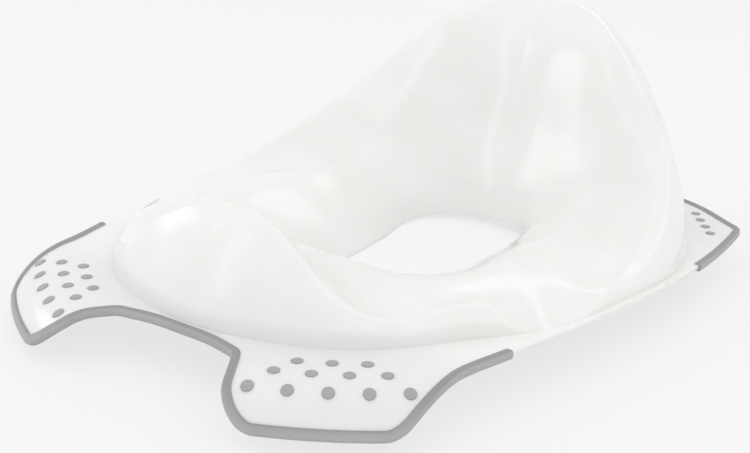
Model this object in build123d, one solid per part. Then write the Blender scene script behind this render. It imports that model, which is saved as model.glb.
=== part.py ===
from build123d import *
import math
import os

# A toilet seat reducer for a child: one thin moulded shell with a backrest, a splash guard and
# four wings, and soft grips moulded round its edges and through its wings.
# +X is the sitter's left, +Y runs to the back, +Z is up. The origin lies under the middle.

# Overall sizes
HALF_LENGTH = 200.0          # front wing tips and back edge, from the middle
HALF_WIDTH = 152.5           # widest place of the bare side edges, from the middle
BACK_HEIGHT = 139.0          # top of the backrest above the bowl's lower edge
WALL = 2.4                   # shell wall
SEAT_CENTRE_Y = 40.0         # centre that the moulding's sections turn about
OVERRUN = 20.0               # how far cutting bodies pass what they cut
REDRAW_STEPS = 12            # spans of a curve that is drawn afresh beside another

# Flange, the flat rim that lies on the toilet seat
FLANGE_HEIGHT = 24.6         # its top face at the front
FLANGE_FALL = 5.6            # how much lower the top face is at the back edge
FALL_START_SHARE = -0.3      # where the fall begins, as a share of the half length
FALL_SHARES = (FALL_START_SHARE, 0.0, 0.3, 0.6, 0.9, 1.15)
TOE_DEPTH = 3.2              # how deep the skirt's lower edge lies under the flange's top face
TOE_REACH = 0.8              # how far the skirt's lower edge spreads past the foot line
INNER_MARGIN = 1.0           # the flange's inner edge, inside the foot line

# Front wing: its studs stand on arcs about one centre, and its outer edge rolls down
FAN_X = -20.6
FAN_Y = -0.5
FAN_AXIS = -57.1             # direction of the wing's middle, in degrees from +X
FAN_PITCH = 4.86             # angle between neighbouring studs of a row
ROLL_START = 184.5           # distance from the fan centre at which the roll begins
ROLL_RADIUS = 30.0
WING_EDGE = 209.5            # distance of the line that the wing's grip follows
WING_REACH = 0.5             # how far the shell's plan outline passes that line
WING_LEVEL = 7.4             # height at which the shell's rolled edge ends
WING_BACK = 100.0            # the roll is kept to places further forward than this
ROW_DISTANCES = (197.5, 186.7, 176.4)
ROW_COUNTS = (5, 4, 3)

# Rear wing: one row of studs on a straight line
REAR_STUD_X = 137.3
REAR_STUD_Y = 139.6
REAR_STUD_PITCH = 12.65
REAR_STUD_AXIS = 123.0       # direction of the row, in degrees from +X
REAR_STUD_COUNT = 4

# Studs
STUD_RADIUS = 2.65
STUD_PROUD = 0.4             # height above the wing
STUD_BELOW = 0.9             # length below the wing, where it grips the toilet seat
STUD_FIT = 0.05              # gap round a stud

# Edge grips: a channel of soft rubber that wraps the flange's edge
GRIP_OUT = 1.6               # thickness outside the shell's edge
GRIP_OUT_ROLLED = 1.3        # how much thicker it would be where the wing hangs upright
GRIP_LIP = 2.4               # how far the lips reach in over the flange
GRIP_OVER = 1.1              # thickness of the lips
GRIP_FIT = 0.05              # gap between grip and shell
GRIP_STATION = 4.0           # distance between the grip's sections
# The upper half of a grip's section: reach and height, as shares of the lip or the outer thickness
# and of half the section's height. The steps say where each point lies along the line through them.
GRIP_SHARES = ((-1.0, 0.55), (-0.75, 0.93), (0.1, 1.0), (0.75, 0.82), (1.0, 0.42))
GRIP_STEP_SHARES = (0.0, 0.2, 0.5, 0.8, 1.0)
FRONT_GRIP_END = -90.0       # the front grip runs forward of this place
REAR_GRIP_END = 78.0         # the rear grip runs behind this place

# Corners of the plan outline
NOTCH_RADIUS = 6.0
TIP_RADIUS = 15.0
WING_CORNER_RADIUS = 18.0
REAR_CORNER_RADIUS = 11.0

# Plan outline, in shares of the half width and half length
FRONT_EDGE_SHARES = ((0.0, -0.8075), (0.12, -0.810))
NOTCH_SHARES = (0.236, -0.8275)
NOTCH_SLOPE_SHARE = -0.2
INNER_EDGE_SHARES = (0.298, -0.896)
TIP_ANGLE = -12.2            # wing tip, in degrees from the fan axis
CORNER_ANGLE = 8.1           # wing's outer back corner
SIDE_SHARES = (
    (0.792, -0.650), (0.797, -0.600), (0.825, -0.500), (0.862, -0.385), (0.935, -0.130),
    (0.984, 0.150), (1.0, 0.400), (0.993, 0.600), (0.970, 0.795),
)
BACK_TURN_SHARE = -1.45
BACK_SHARES = ((0.785, 0.910), (0.620, 0.975), (0.380, 0.998), (0.0, 1.0))

# Sections of the moulding, from the front round to the back. A section's plane holds the
# vertical line through the seat centre and the section's foot, where the skirt meets the flange.
# Foot places are shares of the half width and half length.
FOOT_SHARES = (
    (0.000, -0.785), (0.178, -0.768), (0.327, -0.730), (0.465, -0.677), (0.632, -0.542),
    (0.772, -0.388), (0.912, -0.144), (0.962, 0.135), (0.950, 0.395), (0.811, 0.633),
    (0.605, 0.791), (0.341, 0.914), (0.000, 0.975),
)
# How far each line of the moulding lies from the seat centre, as shares of the foot's distance
HOLE_SHARES = (0.325, 0.322, 0.317, 0.306, 0.288, 0.261, 0.229, 0.227, 0.238, 0.305, 0.417, 0.480, 0.488)
SHOULDER_SHARES = (0.538, 0.547, 0.577, 0.618, 0.678, 0.673, 0.592, 0.569, 0.543, 0.536, 0.540, 0.546, 0.555)
DISH_SHARES = (0.700, 0.716, 0.753, 0.792, 0.836, 0.823, 0.777, 0.742, 0.682, 0.656, 0.633, 0.632, 0.652)
INNER_SHARES = (0.812, 0.828, 0.873, 0.909, 0.938, 0.925, 0.917, 0.883, 0.825, 0.778, 0.727, 0.717, 0.739)
CREST_SHARES = (0.863, 0.879, 0.921, 0.951, 0.966, 0.960, 0.955, 0.933, 0.887, 0.861, 0.820, 0.829, 0.858)
OUTER_SHARES = (0.909, 0.920, 0.951, 0.975, 0.983, 0.979, 0.978, 0.973, 0.950, 0.938, 0.938, 0.936, 0.944)
SKIRT_SHARES = (0.965, 0.969, 0.982, 0.990, 0.994, 0.994, 0.994, 0.993, 0.986, 0.982, 0.982, 0.980, 0.980)
# Heights of the same lines above the flange, as shares of the backrest's height above it
SHOULDER_RISE_SHARES = (0.089, 0.089, 0.089, 0.089, 0.089, 0.089, 0.089, 0.089, 0.098, 0.115, 0.132, 0.157, 0.183)
DISH_RISE_SHARES = (0.217, 0.200, 0.149, 0.106, 0.089, 0.089, 0.080, 0.080, 0.110, 0.209, 0.328, 0.423, 0.508)
INNER_RISE_SHARES = (0.393, 0.354, 0.243, 0.123, 0.093, 0.089, 0.055, 0.080, 0.192, 0.376, 0.619, 0.773, 0.859)
CREST_RISE_SHARES = (0.435, 0.393, 0.277, 0.136, 0.080, 0.068, 0.042, 0.089, 0.230, 0.453, 0.735, 0.936, 1.000)
OUTER_RISE_SHARES = (0.376, 0.324, 0.217, 0.098, 0.063, 0.055, 0.027, 0.055, 0.175, 0.384, 0.636, 0.876, 0.944)
SKIRT_RISE_SHARES = (0.200, 0.166, 0.106, 0.046, 0.030, 0.025, 0.012, 0.012, 0.055, 0.149, 0.286, 0.431, 0.474)
# The bowl's lower edge is level, and lifts a little at the back
HOLE_LIFT = 5.0
HOLE_LIFT_SHARES = (0.0, 0.0, 0.0, 0.0, 0.0, 0.0, 0.0, 0.0, 0.0, 0.03, 0.28, 0.82, 1.0)
BOWL_REACH_SHARE = 0.45      # a point of the bowl's wall, between its lower edge and the shoulder
BOWL_RISE_SHARE = 0.56
# Where each line lies along a section's length, the same for all sections so that they flow together
SECTION_STEP_SHARES = (0.0, 0.12, 0.25, 0.42, 0.58, 0.68, 0.76, 0.88, 1.0)


def flange_top(y):
    """Height of the flange's top face: level at the front, then falling gently to the back."""
    share = max(0.0, (y / HALF_LENGTH - FALL_START_SHARE) / (1 - FALL_START_SHARE))
    return FLANGE_HEIGHT - FLANGE_FALL * math.sin(share * math.pi / 2) ** 2


def section_plane(foot_x, foot_y):
    """The upright plane of a section: its x runs outwards from the seat centre, its y upwards."""
    direction = Vector(foot_x, foot_y - SEAT_CENTRE_Y, 0).normalized()
    return Plane(origin=(0, SEAT_CENTRE_Y, 0), x_dir=direction, z_dir=direction.cross(Vector(0, 0, 1)))


def core_section(index, side):
    """What lies inside the middle of the skirt's wall, at all heights of the flange."""
    foot_x = side * FOOT_SHARES[index][0] * HALF_WIDTH
    foot_y = FOOT_SHARES[index][1] * HALF_LENGTH
    reach = math.hypot(foot_x, foot_y - SEAT_CENTRE_Y)
    start = HOLE_SHARES[index] * reach
    end = reach - INNER_MARGIN
    corners = [(start, 0), (end, 0), (end, 2 * FLANGE_HEIGHT), (start, 2 * FLANGE_HEIGHT)]
    plane = section_plane(foot_x, foot_y)
    points = [plane.from_local_coords(Vector(*corner)) for corner in corners]
    return Face(Wire([Edge.make_line(*ends) for ends in zip(points, points[1:] + points[:1])]))


def section(index, side):
    """One closed wall section of the bowl, seat, crest and skirt, as a face."""
    foot_x = side * FOOT_SHARES[index][0] * HALF_WIDTH
    foot_y = FOOT_SHARES[index][1] * HALF_LENGTH
    reach = math.hypot(foot_x, foot_y - SEAT_CENTRE_Y)
    foot_z = flange_top(foot_y)
    rise = BACK_HEIGHT - foot_z
    hole = HOLE_SHARES[index] * reach
    hole_z = HOLE_LIFT_SHARES[index] * HOLE_LIFT
    shoulder = SHOULDER_SHARES[index] * reach
    shoulder_z = foot_z + SHOULDER_RISE_SHARES[index] * rise
    upper = [
        (hole, hole_z),
        (hole + BOWL_REACH_SHARE * (shoulder - hole), hole_z + BOWL_RISE_SHARE * (shoulder_z - hole_z)),
        (shoulder, shoulder_z),
        (DISH_SHARES[index] * reach, foot_z + DISH_RISE_SHARES[index] * rise),
        (INNER_SHARES[index] * reach, foot_z + INNER_RISE_SHARES[index] * rise),
        (CREST_SHARES[index] * reach, foot_z + CREST_RISE_SHARES[index] * rise),
        (OUTER_SHARES[index] * reach, foot_z + OUTER_RISE_SHARES[index] * rise),
        (SKIRT_SHARES[index] * reach, foot_z + SKIRT_RISE_SHARES[index] * rise),
        (reach + TOE_REACH, foot_z - TOE_DEPTH),
    ]
    lower = [(hole + WALL, hole_z)]
    for before, here, after in zip(upper, upper[1:], upper[2:]):
        first = math.dist(before, here)
        second = math.dist(here, after)
        run = (here[0] - before[0]) / first + (after[0] - here[0]) / second
        climb = (here[1] - before[1]) / first + (after[1] - here[1]) / second
        length = math.hypot(run, climb)
        lower.append((here[0] + WALL * climb / length, here[1] - WALL * run / length))
    lower.append((reach + TOE_REACH - WALL, foot_z - TOE_DEPTH))
    plane = section_plane(foot_x, foot_y)
    top = [plane.from_local_coords(Vector(*point)) for point in upper]
    under = [plane.from_local_coords(Vector(*point)) for point in reversed(lower)]
    back_steps = [1 - step for step in reversed(SECTION_STEP_SHARES)]
    edges = [
        Edge.make_spline(top, parameters=SECTION_STEP_SHARES),
        Edge.make_line(top[-1], under[0]),
        Edge.make_spline(under, parameters=back_steps),
        Edge.make_line(under[-1], top[0]),
    ]
    return Face(Wire(edges))


def lofted(profile):
    """A profile lofted round the +X side, from one section past the middle to one past it again."""
    last = len(FOOT_SHARES) - 1
    faces = [profile(1, -1)]
    faces += [profile(index, 1) for index in range(last + 1)]
    faces += [profile(last - 1, -1)]
    return loft(faces)


def half_space(level):
    """Everything on the +X side of the middle and above a level, past the overall sizes."""
    side = 2 * (HALF_LENGTH + OVERRUN)
    return Pos(side / 2, 0, level + side / 2) * Box(side, side, side)


def wing_back_space():
    """The quarter that holds a front wing's rolled edge."""
    side = HALF_LENGTH + OVERRUN
    return Pos(side / 2, -WING_BACK - side / 2, 0) * Box(side, side, 2 * side)


def slab(over, under):
    """The flange as a plate that fills the plan, with its wing's rolled edge, before it is cut to
    its outline. It is thicker than the wall by over at the top and by under at the bottom."""
    fall = [(0, share * HALF_LENGTH, flange_top(share * HALF_LENGTH) + over) for share in FALL_SHARES]
    top = Spline(*fall, tangents=[(0, 1, 0), (0, 1, 0)])
    depth = Vector(0, 0, -WALL - under - over)
    front = Vector(0, -HALF_LENGTH - OVERRUN, FLANGE_HEIGHT + over)
    edges = [
        Line(front, fall[0]), top, Line(top @ 1, top @ 1 + depth), top.moved(Location(depth)),
        Line(Vector(*fall[0]) + depth, front + depth), Line(front + depth, front),
    ]
    plate = extrude(Face(Wire(edges)), amount=HALF_LENGTH + OVERRUN, dir=(1, 0, 0))
    deep = 2 * BACK_HEIGHT
    flat_part = Pos(FAN_X, FAN_Y, 0) * Cylinder(ROLL_START, deep)
    outer = ROLL_RADIUS + over
    inner = ROLL_RADIUS - WALL - under
    centre = Pos(ROLL_START, FLANGE_HEIGHT - ROLL_RADIUS)
    ring = centre * (Circle(outer) - Circle(inner))
    quarter = Pos(ROLL_START + outer, FLANGE_HEIGHT - ROLL_RADIUS + outer) * Rectangle(2 * outer, 2 * outer)
    rolled = revolve(Plane.XZ * (ring & quarter), Axis.Z, 360)
    rolled = Pos(FAN_X, FAN_Y, 0) * rolled
    wing = wing_back_space()
    return (plate - (wing - flat_part)) + (rolled & wing)


def fan_point(distance, angle):
    """A place at a distance and an angle from the front wing's fan centre."""
    turn = math.radians(angle)
    return (FAN_X + distance * math.cos(turn), FAN_Y + distance * math.sin(turn))


def plan(points):
    """Places given as shares of the half width and the half length."""
    return [(x * HALF_WIDTH, y * HALF_LENGTH) for x, y in points]


def outline_face(wing_edge):
    """The plan outline on the +X side, closed along the middle, for a distance of the wing's edge."""
    notch = plan([NOTCH_SHARES])[0]
    front = plan(FRONT_EDGE_SHARES) + [notch]
    tip = fan_point(wing_edge, FAN_AXIS + TIP_ANGLE)
    corner = fan_point(wing_edge, FAN_AXIS + CORNER_ANGLE)
    inner = plan([INNER_EDGE_SHARES])[0]
    side = [corner] + plan(SIDE_SHARES)
    back = [side[-1]] + plan(BACK_SHARES)
    edges = [
        Line((0, 0), front[0]),
        Spline(*front, tangents=[(1, 0), (1, NOTCH_SLOPE_SHARE)]),
        ThreePointArc(notch, inner, tip),
        ThreePointArc(tip, fan_point(wing_edge, FAN_AXIS), corner),
        Spline(*side),
        Spline(*back, tangents=[(BACK_TURN_SHARE, 1), (-1, 0)]),
        Line(back[-1], (0, 0)),
    ]
    face = Face(Wire(edges))
    for place, radius in (
        (notch, NOTCH_RADIUS), (tip, TIP_RADIUS), (corner, WING_CORNER_RADIUS), (side[-1], REAR_CORNER_RADIUS),
    ):
        vertex = face.vertices().sort_by_distance(Vector(*place))[0]
        face = face.fillet_2d(radius, [vertex])
    return face


def grown(half, distance):
    """The plan outline of both sides, moved outwards by a distance. Its curves are drawn afresh."""
    curved = [edge for edge in half.outer_wire().edges() if (edge @ 0.5).X > GRIP_FIT]
    whole = Face(Wire.combine(curved + [edge.mirror(Plane.YZ) for edge in curved])[0])
    edges = []
    for edge in offset(whole, distance).face().outer_wire().edges():
        if edge.geom_type in (GeomType.CIRCLE, GeomType.LINE):
            edges.append(edge)
        else:
            points = [edge @ (step / REDRAW_STEPS) for step in range(REDRAW_STEPS + 1)]
            edges.append(Edge.make_spline(points, tangents=[edge % 0, edge % 1]))
    return Face(Wire.combine(edges)[0])


def prism(face):
    """A plan face as a body that passes through the whole height."""
    return extrude(Pos(0, 0, -BACK_HEIGHT) * face, amount=3 * BACK_HEIGHT, dir=(0, 0, 1))


def front_stud_places():
    """The front wing's studs, row by row from the outer edge inwards."""
    places = []
    for distance, count in zip(ROW_DISTANCES, ROW_COUNTS):
        for index in range(count):
            places.append(fan_point(distance, FAN_AXIS + (index - (count - 1) / 2) * FAN_PITCH))
    return places


def rear_stud_places():
    """The rear wing's studs, from the side to the back."""
    turn = math.radians(REAR_STUD_AXIS)
    places = []
    for index in range(REAR_STUD_COUNT):
        run = index * REAR_STUD_PITCH
        places.append((REAR_STUD_X + run * math.cos(turn), REAR_STUD_Y + run * math.sin(turn)))
    return places


def post(place, radius):
    """An upright round bar through the flange at a place of the plan."""
    return Pos(*place, 0) * Cylinder(radius, 2 * BACK_HEIGHT)


def both(half):
    """A body of the +X side joined to its mirror image."""
    return half + mirror(half, Plane.YZ)


def half_shell(outline):
    """Moulding and flange for +X in one wall, cut to the plan outline."""
    moulding = lofted(section) & half_space(-OVERRUN)
    middle = Pos(0, SEAT_CENTRE_Y, 0) * Box(HALF_WIDTH, HALF_LENGTH, 2 * FLANGE_HEIGHT)
    flange = ((slab(0, 0) - lofted(core_section)) - middle) & prism(outline)
    side = HALF_LENGTH + OVERRUN
    flange -= Pos(side / 2, -WING_BACK - side / 2, WING_LEVEL - side / 2) * Box(side, side, side)
    shell = moulding + flange
    for place in front_stud_places() + rear_stud_places():
        shell -= post(place, STUD_RADIUS + STUD_FIT)
    return shell


def edge_frame(place, out):
    """For a plan place on the edge line and the plan direction out of the edge: the place in the
    middle of the flange's wall, the direction out of the edge along the wall, and the wall's normal."""
    away = Vector(place.X - FAN_X, place.Y - FAN_Y, 0)
    if place.Y < -WING_BACK and away.length > ROLL_START:
        middle = ROLL_RADIUS - WALL / 2
        lean = (away.length - ROLL_START) / middle
        up = math.sqrt(1 - lean ** 2)
        normal = away.normalized() * lean + Vector(0, 0, up)
        height = FLANGE_HEIGHT - ROLL_RADIUS + middle * up
    else:
        ahead = flange_top(place.Y + GRIP_STATION)
        behind = flange_top(place.Y - GRIP_STATION)
        normal = Vector(0, (behind - ahead) / (2 * GRIP_STATION), 1).normalized()
        height = flange_top(place.Y) - WALL / 2
    along_wall = (out - normal * out.dot(normal)).normalized()
    return Vector(place.X, place.Y, height), along_wall, normal


def grip_section(place, out):
    """One rounded section of a grip, before the channel for the shell is cut into it."""
    centre, out, normal = edge_frame(place, out)
    outer = GRIP_OUT + GRIP_OUT_ROLLED * (1 - normal.Z ** 2)
    half_height = WALL / 2 + GRIP_OVER
    upper = []
    lower = []
    for reach, height in GRIP_SHARES:
        spot = centre + out * (reach * (outer if reach > 0 else GRIP_LIP))
        upper.append(spot + normal * (height * half_height))
        lower.insert(0, spot - normal * (height * half_height))
    edges = [
        Edge.make_spline(upper, parameters=GRIP_STEP_SHARES),
        Edge.make_line(upper[-1], lower[0]),
        Edge.make_spline(lower, parameters=GRIP_STEP_SHARES),
        Edge.make_line(lower[-1], upper[0]),
    ]
    return Face(Wire(edges))


def half_grips(outline, line):
    """The front and the rear edge grip for +X. Each follows the edge line and wraps the shell."""
    wire = Wire.combine([edge for edge in line.outer_wire().edges() if (edge @ 0.5).X > GRIP_FIT])[0]
    count = round(wire.length / GRIP_STATION)
    front = []
    rear = []
    for step in range(count + 1):
        place = wire @ (step / count)
        heading = wire % (step / count)
        out = Vector(heading.Y, -heading.X, 0)
        out = -out if line.is_inside(place + out * GRIP_OUT) else out
        if place.Y < FRONT_GRIP_END + GRIP_STATION:
            front.append(grip_section(place, out))
        if place.Y > REAR_GRIP_END - GRIP_STATION:
            rear.append(grip_section(place, out))
    channel = prism(grown(outline, GRIP_FIT)) & slab(GRIP_FIT, GRIP_FIT)
    side = HALF_LENGTH + OVERRUN
    low = WING_LEVEL - GRIP_FIT
    channel -= Pos(side / 2, -WING_BACK - side / 2, low - side / 2) * Box(side, side, side)
    front_room = Pos(side / 2, FRONT_GRIP_END - side / 2, 0) * Box(side, side, side)
    rear_room = Pos(side / 2, REAR_GRIP_END + side / 2, 0) * Box(side, side, side)
    return (loft(front) & front_room) - channel, (loft(rear) & rear_room) - channel


def stud(place):
    """One soft stud that fills its hole and stands a little proud on both faces."""
    return post(place, STUD_RADIUS) & slab(STUD_PROUD, STUD_BELOW)


def write(name, body):
    """Write one piece to its own file."""
    solids = body.solids()
    piece = solids[0] if len(solids) == 1 else Compound(children=solids)
    export_step(piece, "parts/" + name + ".step")
    print(name, len(solids), round(piece.volume), piece.is_valid)


def main():
    os.makedirs("parts", exist_ok=True)
    outline = outline_face(WING_EDGE + WING_REACH)
    front, rear = half_grips(outline, outline_face(WING_EDGE))
    middle = (front.bounding_box().min.Y + rear.bounding_box().max.Y) / 2
    home = Pos(0, -middle, 0)
    print("moved to the middle by", middle)
    write("seat_shell", home * both(half_shell(outline)))
    write("front_edge_grip", home * both(front))
    write("rear_edge_grip", home * both(rear))
    for wing, places in (("front", front_stud_places()), ("rear", rear_stud_places())):
        for number, place in enumerate(places, 1):
            piece = home * stud(place)
            write(f"{wing}_left_stud_{number:02d}", piece)
            write(f"{wing}_right_stud_{number:02d}", mirror(piece, Plane.YZ))


main()
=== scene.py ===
# %% [markdown]
# A child's toilet seat reducer, dressed for a studio photograph.
# The real thing is one thin white moulding with soft grey rubber moulded onto it in a second shot: a grip
# round the front wings, a grip round the back, and rows of small studs through the wings.
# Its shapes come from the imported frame, which is already at its real size, in metres. What is made here is
# what the frame leaves plain: the soft look of each moulded edge, the finishes, the floor, the lamps and the
# camera.

# %% Load the frame
import math

import bpy
from mathutils import Matrix, Vector


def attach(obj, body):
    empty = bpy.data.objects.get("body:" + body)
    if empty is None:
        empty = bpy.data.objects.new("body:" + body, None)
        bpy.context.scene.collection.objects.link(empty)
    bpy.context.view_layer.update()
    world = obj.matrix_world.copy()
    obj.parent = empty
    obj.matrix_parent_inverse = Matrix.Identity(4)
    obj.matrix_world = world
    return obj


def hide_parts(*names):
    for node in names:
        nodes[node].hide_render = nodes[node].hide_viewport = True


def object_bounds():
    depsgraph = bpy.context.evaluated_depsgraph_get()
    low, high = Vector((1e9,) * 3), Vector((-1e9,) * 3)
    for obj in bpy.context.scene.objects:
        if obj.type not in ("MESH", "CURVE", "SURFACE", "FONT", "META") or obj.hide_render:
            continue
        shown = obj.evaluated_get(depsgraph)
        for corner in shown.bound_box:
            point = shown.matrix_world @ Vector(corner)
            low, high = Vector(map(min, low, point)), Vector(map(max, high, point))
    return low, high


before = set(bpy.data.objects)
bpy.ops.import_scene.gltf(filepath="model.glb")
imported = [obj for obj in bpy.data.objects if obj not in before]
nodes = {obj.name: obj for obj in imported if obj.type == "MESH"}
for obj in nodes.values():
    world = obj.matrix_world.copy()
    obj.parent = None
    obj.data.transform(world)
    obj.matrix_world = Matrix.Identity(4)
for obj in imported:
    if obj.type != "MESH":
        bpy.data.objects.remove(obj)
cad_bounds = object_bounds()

print("frame holds", len(nodes), "nodes; corners", cad_bounds)

# %% [markdown]
# A skin to work on.
# The frame's nodes are loose triangles and must stay as they are. Each piece is therefore a copy of its node,
# whose triangles are first merged into one skin, because a bevel needs to know which faces meet at an edge.
# The merge distance is two thousandths of a millimetre, which joins only points that lie on each other.

# %% Pick one piece


def deselect_all():
    """Nothing selected, so that an operator acts only on what is picked next."""
    if bpy.context.object and bpy.context.object.mode != "OBJECT":
        bpy.ops.object.mode_set(mode="OBJECT")
    bpy.ops.object.select_all(action="DESELECT")


def pick(piece):
    """Makes one piece the selected and active object."""
    deselect_all()
    piece.select_set(True)
    bpy.context.view_layer.objects.active = piece


# %% Copy a node as one skin
MERGE_DISTANCE = 0.000002


def copy_node(node, name):
    """A copy of a node's mesh, free of the node's own labels."""
    piece = nodes[node].copy()
    piece.data = nodes[node].data.copy()
    piece.name = name
    piece.parent = None
    for key in list(piece.keys()):
        del piece[key]
    bpy.context.scene.collection.objects.link(piece)
    piece.hide_render = False
    return piece


def merge_skin(piece):
    """Joins a piece's loose triangles into one closed skin."""
    pick(piece)
    bpy.ops.mesh.customdata_custom_splitnormals_clear()
    bpy.ops.object.mode_set(mode="EDIT")
    bpy.ops.mesh.select_all(action="SELECT")
    bpy.ops.mesh.remove_doubles(threshold=MERGE_DISTANCE)
    bpy.ops.object.mode_set(mode="OBJECT")


# %% [markdown]
# The white shell.
# It is an injection moulding in glossy polypropylene: white, a little warm, and slightly cloudy, so that
# light goes a millimetre or two into it. Close up, its gloss has a faint unevenness from the tool's polish.
# The wings are thin and flat and look a little cooler than the deep bowl. The flange's sides between them are
# as thin, but keep the bowl's warm white as painted light against the skirt's shade.
# A plain white shader would look like paint. Here the colour, the roughness and a very fine bump each follow
# their own noise, read from Object coordinates so that the pattern has the same size all over the part.

# %% A material and its patterns


def new_material(name):
    """An empty node material with its shader, and the coordinates that its patterns read."""
    material = bpy.data.materials.new(name)
    material.use_nodes = True
    tree = material.node_tree
    shader = tree.nodes["Principled BSDF"]
    place = tree.nodes.new("ShaderNodeTexCoord").outputs["Object"]
    return material, tree, shader, place


def noise(tree, place, size, detail):
    """A noise whose features measure about a size, in metres."""
    node = tree.nodes.new("ShaderNodeTexNoise")
    node.inputs["Scale"].default_value = 1 / size
    node.inputs["Detail"].default_value = detail
    tree.links.new(place, node.inputs["Vector"])
    return node.outputs["Fac"]


def ramp(tree, value, start, end, lowest=0, highest=1):
    """A value that runs from lowest to highest while another goes from start to end."""
    node = tree.nodes.new("ShaderNodeMapRange")
    for socket, number in (("From Min", start), ("From Max", end), ("To Min", lowest), ("To Max", highest)):
        node.inputs[socket].default_value = number
    tree.links.new(value, node.inputs["Value"])
    return node.outputs["Result"]


def spread(tree, value, lowest, highest):
    """The middle range of a noise, where most of it lies, stretched between two values."""
    return ramp(tree, value, 0.3, 0.7, lowest, highest)


# %% Mixing, arithmetic and bump


def blend_colours(tree, factor, first, second):
    """Two colours mixed by a factor. Each is a colour or a socket."""
    node = tree.nodes.new("ShaderNodeMix")
    node.data_type = "RGBA"
    tree.links.new(factor, node.inputs["Factor"])
    for socket, colour in ((node.inputs[6], first), (node.inputs[7], second)):
        if isinstance(colour, tuple):
            socket.default_value = (*colour, 1)
        else:
            tree.links.new(colour, socket)
    return node.outputs[2]


def compute(tree, operation, *values):
    """One step of arithmetic. Each value is a number or a socket."""
    node = tree.nodes.new("ShaderNodeMath")
    node.operation = operation
    for socket, value in zip(node.inputs, values):
        if isinstance(value, (int, float)):
            socket.default_value = value
        else:
            tree.links.new(value, socket)
    return node.outputs["Value"]


def add_bump(tree, shader, height, depth, strength):
    """A bump of a real depth on a shader."""
    node = tree.nodes.new("ShaderNodeBump")
    node.inputs["Strength"].default_value = strength
    node.inputs["Distance"].default_value = depth
    tree.links.new(height, node.inputs["Height"])
    tree.links.new(node.outputs["Normal"], shader.inputs["Normal"])


# %% [markdown]
# Where the wings end and the bowl begins.
# The cooler white belongs to the front and rear wings alone. They are told apart by place: they lie at the
# flange's height, which falls a little to the back, outside an oval round the bowl, and near the part's ends.
# The flange's sides between the wings get the bowl's warm white as painted light against the skirt's shade.
# A mask made of these three fades softly from one white to the other, so that no border shows.

# %% The bowl's mask, with painted light on the flange's sides
WING_TOP = 0.0252
FALL_TO_THE_BACK = 0.027
MASK_FADE = 0.004
BOWL_OVAL = (1, 0.75, 0)
BOWL_REACH = 0.095
BOWL_FADE = 0.01
WINGS_FROM = 0.105
WINGS_FULL = 0.135


def bowl_and_painted_light_mask(tree, place):
    """One on the bowl and the skirt, one on the flange's sides as painted light, and nought on the wings."""
    axes = tree.nodes.new("ShaderNodeSeparateXYZ")
    tree.links.new(place, axes.inputs["Vector"])
    level = compute(tree, "MULTIPLY_ADD", axes.outputs["Y"], FALL_TO_THE_BACK, axes.outputs["Z"])
    above = ramp(tree, level, WING_TOP, WING_TOP + MASK_FADE)
    oval = tree.nodes.new("ShaderNodeVectorMath")
    oval.operation = "MULTIPLY"
    oval.inputs[1].default_value = BOWL_OVAL
    tree.links.new(place, oval.inputs[0])
    reach = tree.nodes.new("ShaderNodeVectorMath")
    reach.operation = "LENGTH"
    tree.links.new(oval.outputs["Vector"], reach.inputs[0])
    inside = ramp(tree, reach.outputs["Value"], BOWL_REACH, BOWL_REACH - BOWL_FADE)
    # The flange's sides between the wings take the warm white as painted light against the skirt's shade.
    along = compute(tree, "ABSOLUTE", axes.outputs["Y"])
    painted_light_sides = ramp(tree, along, WINGS_FULL, WINGS_FROM)
    return compute(tree, "MAXIMUM", above, compute(tree, "MAXIMUM", inside, painted_light_sides))


# %% The shell's finish
WARM_WHITE = (0.835, 0.835, 0.815)
WARM_WHITE_LIGHT = (0.865, 0.865, 0.85)
COOL_WHITE = (0.79, 0.79, 0.795)


def moulded_white():
    """Glossy white polypropylene, a little cloudy, cooler on the thin flat wings, warm on the flange's sides
    as painted light.
    """
    material, tree, shader, place = new_material("moulded_white_plastic")
    cloud = spread(tree, noise(tree, place, size=0.035, detail=2), lowest=0, highest=1)
    body = blend_colours(tree, cloud, WARM_WHITE, WARM_WHITE_LIGHT)
    tree.links.new(blend_colours(tree, bowl_and_painted_light_mask(tree, place), COOL_WHITE, body), shader.inputs["Base Color"])
    polish = spread(tree, noise(tree, place, size=0.012, detail=3), lowest=0.15, highest=0.21)
    tree.links.new(polish, shader.inputs["Roughness"])
    add_bump(tree, shader, noise(tree, place, size=0.004, detail=1), depth=0.00001, strength=0.1)
    shader.inputs["IOR"].default_value = 1.49
    shader.inputs["Subsurface Weight"].default_value = 0.3
    shader.inputs["Subsurface Radius"].default_value = (1.0, 0.95, 0.9)
    shader.inputs["Subsurface Scale"].default_value = 0.004
    return material


def dress(piece, material):
    """One material on a whole piece."""
    piece.data.materials.clear()
    piece.data.materials.append(material)


white = moulded_white()
print("finish", white.name, "has", len(white.node_tree.nodes), "shader nodes")

# %% [markdown]
# The shell's bare rim.
# Between the grips the flange shows its own edge, which is rounded on the real part and catches a soft line
# of light. The wall is 2.4 mm thick there, so the round is too small to change the outline. It is made by the
# shading normals alone: along the strip of the edge they lean up at its top and down at its foot, as they
# would on a round. A Bevel modifier over the whole shell was tried first. It cracked the flowing surfaces,
# where the triangles are long and thin.
# Every other corner keeps the exact normal of the frame's node. Merging would lose these normals, so they are
# first written on the copy as an attribute of its corners, which the merge carries along.

# %% Where the bare rim lies
RIM_PLAN = ((-0.110, 0.1268), (-0.0805, 0.1315), (-0.0295, 0.1426), (0.0265, 0.1500), (0.0765, 0.1525))
RIM_DEPTH = 0.0012
RIM_SLANT = 0.3
EDGE_MIDDLE = 0.0234
DROP_AT_BACK = 0.0056
DROP_START = -0.0635
DROP_LENGTH = 0.26


def side_edge(y):
    """How far out the flange's bare side edge lies at a place along the part."""
    for (start, low), (end, high) in zip(RIM_PLAN, RIM_PLAN[1:]):
        if y <= end:
            return low + (high - low) * (y - start) / (end - start)
    return RIM_PLAN[-1][1]


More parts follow.
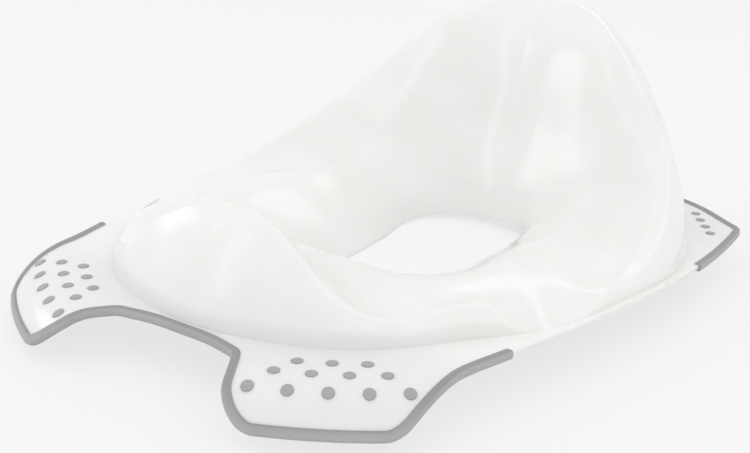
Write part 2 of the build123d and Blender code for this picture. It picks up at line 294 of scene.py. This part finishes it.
def edge_height(y):
    """Height of the middle of the flange's edge, which falls gently to the back."""
    share = max(0.0, (y - DROP_START) / DROP_LENGTH)
    return EDGE_MIDDLE - DROP_AT_BACK * math.sin(share * math.pi / 2) ** 2


def on_rim(face):
    """Whether a face belongs to the strip of the flange's bare side edge."""
    place = face.center
    if not RIM_PLAN[0][0] < place.y < RIM_PLAN[-1][0]:
        return False
    return abs(face.normal.z) < RIM_SLANT and abs(place.x) > side_edge(place.y) - RIM_DEPTH


print("bare rim runs from y", RIM_PLAN[0][0], "to", RIM_PLAN[-1][0])

# %% The shell as one skin with its node's normals
shell = copy_node("seat_shell", "white_shell")
exact = [number for corner in shell.data.corner_normals for number in corner.vector]
shell.data.attributes.new("node_normal", "FLOAT_VECTOR", "CORNER").data.foreach_set("vector", exact)
merge_skin(shell)
bpy.ops.object.shade_smooth()
kept = shell.data.attributes["node_normal"]
normals = [Vector(corner.vector) for corner in kept.data]
shell.data.attributes.remove(kept)
print("shell faces", len(shell.data.polygons), "from", len(nodes["seat_shell"].data.polygons))

# %% Lean the normals along the rim
LEAN_TOP = 0.9
LEAN_FOOT = -0.25

strip = [face for face in shell.data.polygons if on_rim(face)]
for face in strip:
    for corner, index in zip(face.loop_indices, face.vertices):
        place = shell.data.vertices[index].co
        lean = LEAN_TOP if place.z > edge_height(place.y) else LEAN_FOOT
        normals[corner] = (normals[corner] + Vector((0, 0, lean))).normalized()
shell.data.normals_split_custom_set(normals)
print("faces on the rim", len(strip))

# %% Dress the shell
dress(shell, white)
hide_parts("seat_shell")
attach(shell, "root")
print("shell wears", white.name)

# %% [markdown]
# The grey rubber.
# The grips and studs are a soft thermoplastic rubber. It hardly shines, its surface is finely sparked so that
# it isn't slippery, and it holds a little dust, so its grey is never quite even.
# High roughness with a touch of sheen gives the soft, dry look, and a fine stipple breaks up what gloss is
# left. Where a piece faces up its grey is painted apart: a grip's top is darker than its side as painted
# shade, and a stud's top a little lighter as painted light. How far each point faces up is written on the
# piece as an attribute, which the material reads.

# %% The rubber's finish
PAINTED_TOP_STARTS = 0.35
PAINTED_TOP_FULL = 0.9


def mark_facing_up(piece):
    """Writes on each point of a piece how far its surface faces up."""
    marks = piece.data.attributes.new("facing_up", "FLOAT", "POINT")
    marks.data.foreach_set("value", [point.normal.z for point in piece.data.vertices])


def soft_rubber(name, dark, light, painted_light_top):
    """Matt grey rubber between two shades, finely stippled, with a third painted on what faces up: painted
    shade if darker, painted light if lighter.
    """
    material, tree, shader, place = new_material(name)
    cloud = spread(tree, noise(tree, place, size=0.02, detail=4), lowest=0, highest=1)
    facing = tree.nodes.new("ShaderNodeAttribute")
    facing.attribute_name = "facing_up"
    # The share of the painted top colour: painted shade or light, by how far a point faces up.
    painted_top_share = ramp(tree, facing.outputs["Fac"], PAINTED_TOP_STARTS, PAINTED_TOP_FULL)
    rubber = blend_colours(tree, cloud, dark, light)
    tree.links.new(blend_colours(tree, painted_top_share, rubber, painted_light_top), shader.inputs["Base Color"])
    dryness = spread(tree, noise(tree, place, size=0.006, detail=2), lowest=0.55, highest=0.7)
    tree.links.new(dryness, shader.inputs["Roughness"])
    add_bump(tree, shader, noise(tree, place, size=0.0004, detail=3), depth=0.00004, strength=0.5)
    shader.inputs["Sheen Weight"].default_value = 0.08
    return material


# The grips' tops are painted darker than their sides: painted shade.
grip_grey = soft_rubber(
    "grip_rubber", dark=(0.38, 0.38, 0.38), light=(0.42, 0.42, 0.42), painted_light_top=(0.29, 0.29, 0.29)
)
# The studs' tops are painted a little lighter than their sides: painted light.
stud_grey = soft_rubber(
    "stud_rubber", dark=(0.33, 0.33, 0.325), light=(0.36, 0.36, 0.355), painted_light_top=(0.37, 0.37, 0.365)
)
print("finishes", grip_grey.name, "and", stud_grey.name)

# %% [markdown]
# The two edge grips.
# A grip wraps the flange's edge from above and below and ends in a blunt cut. A moulding tool never leaves a
# knife edge, so the rim of that cut and the grip's lips have a small radius, which catches a thin line of
# light. The frame's node ends in sharp edges there. A Bevel modifier limited by angle rounds only these true
# corners and leaves the long soft sides alone, which is why it was chosen over edges picked by hand.

# %% Round the corners of a piece


def round_corners(piece, width, segments, corner_angle, smooth_angle):
    """Rounds edges sharper than an angle, in degrees, then shades the piece smoothly."""
    bevel = piece.modifiers.new("corner_radius", "BEVEL")
    bevel.width = width
    bevel.segments = segments
    bevel.limit_method = "ANGLE"
    bevel.angle_limit = math.radians(corner_angle)
    bevel.use_clamp_overlap = True
    pick(piece)
    bpy.ops.object.modifier_apply(modifier=bevel.name)
    bpy.ops.object.shade_smooth_by_angle(angle=math.radians(smooth_angle))
    print(piece.name, "has", len(piece.data.polygons), "faces")


# %% The front and the rear grip
for node, name in (("front_edge_grip", "front_rubber_grip"), ("rear_edge_grip", "rear_rubber_grip")):
    grip = copy_node(node, name)
    merge_skin(grip)
    round_corners(grip, width=0.0003, segments=2, corner_angle=60, smooth_angle=50)
    mark_facing_up(grip)
    dress(grip, grip_grey)
    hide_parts(node)
    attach(grip, "root")

# %% [markdown]
# The studs.
# Each stud is a short rubber post through the wing that stands a little proud on both faces. In the mould
# its rim is rounded, so a stud looks like a small button. A copy of its node with a wider bevel gives that
# button, and a loop does the same for all of them, each with its own mesh.

# %% The studs of the four wings
stud_nodes = sorted(name for name in nodes if "stud" in name)
for node in stud_nodes:
    stud = copy_node(node, node.replace("_stud_", "_rubber_stud_"))
    merge_skin(stud)
    round_corners(stud, width=0.0004, segments=3, corner_angle=50, smooth_angle=60)
    mark_facing_up(stud)
    dress(stud, stud_grey)
    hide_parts(node)
    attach(stud, "root")
print("studs", len(stud_nodes))

# %% [markdown]
# The floor.
# The product stands on a plain pale sweep. The floor is one large plane with a matt, very slightly mottled
# material, at the height of the bowl's lower edge, so that the part's own shadow holds it to the ground.
# In the photograph the ground is near white all over. More light would bleach the object too, so the
# floor's material mixes in a plain glow for camera rays alone. It lights nothing, and it leaves a share of
# the shadow to be seen.

# %% Floor
SWEEP_SIZE = 8
SWEEP_GREY = (0.905, 0.905, 0.905)
SWEEP_WHITE = (0.92, 0.92, 0.92)
GLOW_SHARE = 0.8


def pale_floor():
    """A matt pale sweep that the camera sees nearly white."""
    material, tree, shader, place = new_material("pale_sweep")
    mottle = spread(tree, noise(tree, place, size=0.3, detail=2), lowest=0, highest=1)
    tree.links.new(blend_colours(tree, mottle, SWEEP_GREY, SWEEP_WHITE), shader.inputs["Base Color"])
    shader.inputs["Roughness"].default_value = 0.9
    glow = tree.nodes.new("ShaderNodeEmission")
    glow.inputs["Color"].default_value = (*SWEEP_WHITE, 1)
    glow.inputs["Strength"].default_value = 1
    rays = tree.nodes.new("ShaderNodeLightPath")
    mix = tree.nodes.new("ShaderNodeMixShader")
    tree.links.new(compute(tree, "MULTIPLY", rays.outputs["Is Camera Ray"], GLOW_SHARE), mix.inputs["Fac"])
    tree.links.new(shader.outputs["BSDF"], mix.inputs[1])
    tree.links.new(glow.outputs["Emission"], mix.inputs[2])
    tree.links.new(mix.outputs["Shader"], tree.nodes["Material Output"].inputs["Surface"])
    return material


deselect_all()
bpy.ops.mesh.primitive_plane_add(size=SWEEP_SIZE, location=(0, 0, cad_bounds[0][2]))
floor = bpy.context.object
floor.name = "pale_floor"
dress(floor, pale_floor())
print("floor at height", round(cad_bounds[0][2], 4))

# %% [markdown]
# Light.
# A product shot of a white object needs big soft lamps, or its shadows turn hard and its white clips. One
# stands high on the picture's left and one on its right. Four narrower ones are there for their reflections:
# in the photograph the shell's forms are drawn by a window on the guard's shoulder, an upright streak down
# its front and bright bands inside the backrest. Each was placed by following a ray from the camera to a
# streak and on along its reflection.
# A pale world wraps the rest. All lamps are kept weak, so that a colour renders about as it is written.

# %% Lamps
LAMPS_LOOK_AT = Vector((0, 0, 0.05))


def soft_lamp(name, heading, rise, distance, width, height, watts):
    """A rectangular lamp at a heading and a rise, in degrees, that looks at the part."""
    turn = math.radians(heading)
    tilt = math.radians(rise)
    along_floor = Vector((math.cos(turn), math.sin(turn), 0))
    place = LAMPS_LOOK_AT + distance * (along_floor * math.cos(tilt) + Vector((0, 0, math.sin(tilt))))
    deselect_all()
    bpy.ops.object.light_add(type="AREA", location=place)
    lamp = bpy.context.object
    lamp.name = name
    lamp.rotation_euler = (LAMPS_LOOK_AT - place).to_track_quat("-Z", "Y").to_euler()
    lamp.data.shape = "RECTANGLE"
    lamp.data.size = width
    lamp.data.size_y = height
    lamp.data.energy = watts
    print(name, "at", [round(value, 3) for value in place])


soft_lamp("overhead_lamp", heading=-150, rise=65, distance=1.3, width=0.9, height=0.9, watts=0.7)
soft_lamp("right_fill", heading=-5, rise=40, distance=1.3, width=0.9, height=0.9, watts=1.2)
soft_lamp("front_strip", heading=-108, rise=30, distance=1.2, width=0.14, height=0.9, watts=0.7)
soft_lamp("left_window", heading=-168, rise=20, distance=1.1, width=0.35, height=0.35, watts=0.6)
soft_lamp("back_strip", heading=85, rise=40, distance=1.2, width=1.0, height=0.12, watts=0.5)
soft_lamp("thin_strip", heading=-125, rise=45, distance=1.2, width=0.06, height=0.5, watts=0.2)

# %% World
ROOM_STRENGTH = 0.93
BACKDROP_WHITE = (0.92, 0.92, 0.92, 1)

world = bpy.data.worlds.new("pale_room")
bpy.context.scene.world = world
world.use_nodes = True
world_tree = world.node_tree
room = world_tree.nodes["Background"]
room.inputs["Color"].default_value = (1, 1, 1, 1)
room.inputs["Strength"].default_value = ROOM_STRENGTH
backdrop = world_tree.nodes.new("ShaderNodeBackground")
backdrop.inputs["Color"].default_value = BACKDROP_WHITE
backdrop.inputs["Strength"].default_value = 1
rays = world_tree.nodes.new("ShaderNodeLightPath")
switch = world_tree.nodes.new("ShaderNodeMixShader")
world_tree.links.new(rays.outputs["Is Camera Ray"], switch.inputs["Fac"])
world_tree.links.new(room.outputs["Background"], switch.inputs[1])
world_tree.links.new(backdrop.outputs["Background"], switch.inputs[2])
world_tree.links.new(switch.outputs["Shader"], world_tree.nodes["World Output"].inputs["Surface"])
print("world lights at", ROOM_STRENGTH, "and shows", BACKDROP_WHITE[0])

# %% [markdown]
# Camera.
# The photograph looks down on the part from the front left wing's side. The camera's place and angles were
# worked out from the fan of studs, whose spacing is regular, and are written as a turn, a tilt and a roll.
# The small shift frames the part as the photograph does.

# %% Camera
CAMERA_PLACE = (0.3369, -0.5074, 0.2408)
CAMERA_TURN = 33.58
CAMERA_TILT = 70.91
CAMERA_ROLL = 2.56
CAMERA_LENS = 55.5
CAMERA_SHIFT = (-0.0195, -0.0045)

deselect_all()
bpy.ops.object.camera_add()
camera = bpy.context.object
camera.name = "photo_camera"
camera.matrix_world = (
    Matrix.Translation(CAMERA_PLACE)
    @ Matrix.Rotation(math.radians(CAMERA_TURN), 4, "Z")
    @ Matrix.Rotation(math.radians(CAMERA_TILT), 4, "X")
    @ Matrix.Rotation(math.radians(CAMERA_ROLL), 4, "Z")
)
camera.data.sensor_width = 36
camera.data.lens = CAMERA_LENS
camera.data.shift_x, camera.data.shift_y = CAMERA_SHIFT
bpy.context.scene.camera = camera
bpy.context.scene.view_settings.view_transform = "Standard"
print("camera looks with a lens of", CAMERA_LENS, "mm")
